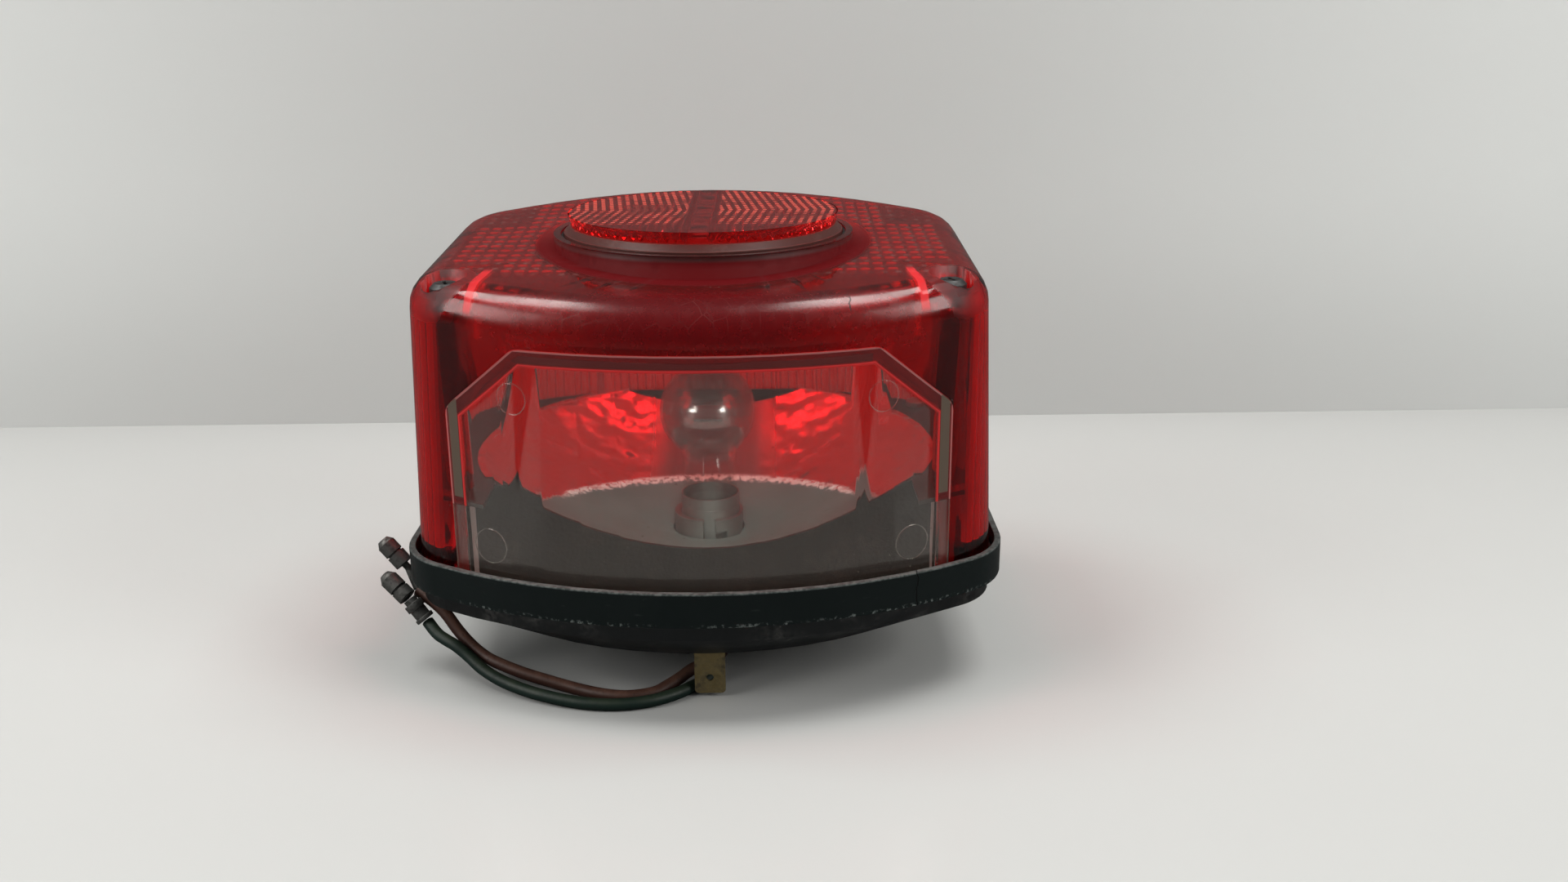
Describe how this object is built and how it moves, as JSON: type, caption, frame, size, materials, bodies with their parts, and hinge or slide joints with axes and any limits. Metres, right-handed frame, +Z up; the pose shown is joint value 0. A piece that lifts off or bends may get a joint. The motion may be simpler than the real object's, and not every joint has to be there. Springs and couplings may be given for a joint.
{
  "type": "motorcycle tail light",
  "caption": "Motorcycle tail light on its back: red lens with clear number plate window, round reflex reflector, black rim, dished base, mounting studs and bullet connector leads.",
  "frame": {"origin": "middle of the lamp at the tips of the mounting studs, which is the table it lies on", "axes": "+Z up out of the lens face, +X along the long side, -Y towards the number plate window"},
  "size_m": [0.1555, 0.1226, 0.11],
  "materials": {
    "red_lens": "gloss, translucent red",
    "clear_window": "clear, lightly scratched",
    "reflector_red": "gloss, moulded prisms behind",
    "reflector_brown": "gloss brown red",
    "black_ring": "matt",
    "zinc_screw": "dull zinc",
    "rim_black": "satin, worn edges",
    "soft_black": "matt",
    "pan_dark": "satin dark grey",
    "bowl_silver": "silver, orange peel",
    "frame_dark": "dark grey, orange peel",
    "plain_steel": "plated",
    "bulb_glass": "clear",
    "bulb_brass": "dull",
    "bulb_base": "black glass",
    "solder": "solder",
    "tungsten": "drawn wire",
    "brown_board": "pressed board",
    "wire_brown": "flexible PVC",
    "tab_yellow": "yellow passivated, corroded",
    "wire_green": "flexible PVC, dirty",
    "old_metal": "blackened, dirty"
  },
  "bodies": {
    "base": {"base_rim": "rim_black", "lens_gasket": "soft_black", "base_pan": "pan_dark", "mount_pad": "soft_black", "silver_bowl": "bowl_silver", "bowl_frame": "frame_dark", "screw_pillars": "plain_steel", "rear_pillars": "plain_steel", "frame_screws": "zinc_screw", "socket_shell": "plain_steel", "socket_rivets": "plain_steel", "contact_spring": "plain_steel", "socket_leads": "wire_brown", "lead_bush": "soft_black", "mounting_studs": "zinc_screw", "earth_tab": "tab_yellow", "tab_rivet": "tab_yellow", "brown_wire": "wire_brown", "green_wire": "wire_green", "brown_bullet": "old_metal", "green_barrel": "old_metal", "green_bullet": "old_metal"},
    "lens": {"lens_shell": "red_lens", "number_plate_window": "clear_window", "reflex_reflector": "reflector_red", "reflector_backplate": "reflector_brown", "reflector_seal": "black_ring"},
    "washer_left": {"screw_washer_left": "zinc_screw"},
    "washer_right": {"screw_washer_right": "zinc_screw"},
    "screw_left": {"lens_screw_left": "zinc_screw"},
    "screw_right": {"lens_screw_right": "zinc_screw"},
    "contact_carrier": {"contact_plate": "brown_board", "socket_contacts": "bulb_brass"},
    "bulb": {"bulb_glass": "bulb_glass", "bulb_cap": "bulb_brass", "bulb_pins": "bulb_brass", "bulb_insulator": "bulb_base", "bulb_contacts": "solder", "bulb_stem": "bulb_glass", "bulb_filaments": "tungsten"}
  },
  "joints": [
    {"name": "lens_lift", "type": "slide", "parent": "base", "child": "lens", "axis": [0, 0, 1], "range_m": [0, 0.065]},
    {"name": "washer_left_rise", "type": "slide", "parent": "lens", "child": "washer_left", "axis": [0, 0, 1], "range_m": [0, 0.0112]},
    {"name": "screw_left_turn", "type": "hinge", "parent": "washer_left", "child": "screw_left", "pos_m": [-0.0576, -0.0333, 0.0965], "axis": [0, 0, 1], "range_deg": [0, 5800]},
    {"name": "washer_right_rise", "type": "slide", "parent": "lens", "child": "washer_right", "axis": [0, 0, 1], "range_m": [0, 0.0112]},
    {"name": "screw_right_turn", "type": "hinge", "parent": "washer_right", "child": "screw_right", "pos_m": [0.0576, -0.0333, 0.0965], "axis": [0, 0, 1], "range_deg": [0, 5800]},
    {"name": "contact_press", "type": "slide", "parent": "base", "child": "contact_carrier", "axis": [0, 0, -1], "range_m": [0, 0.002], "stiffness_N_per_m": 2000, "springref_m": -0.004, "deforming": ["contact_spring", "socket_leads"]},
    {"name": "bulb_turn", "type": "hinge", "parent": "contact_carrier", "child": "bulb", "pos_m": [0, 0, 0.0265], "axis": [0, 0, -1], "range_deg": [0, 18]}
  ],
  "couplings": [
    {"joint": "screw_left_turn", "follows": "washer_left_rise", "rad_per_m": 8976},
    {"joint": "screw_right_turn", "follows": "washer_right_rise", "rad_per_m": 8976}
  ]
}
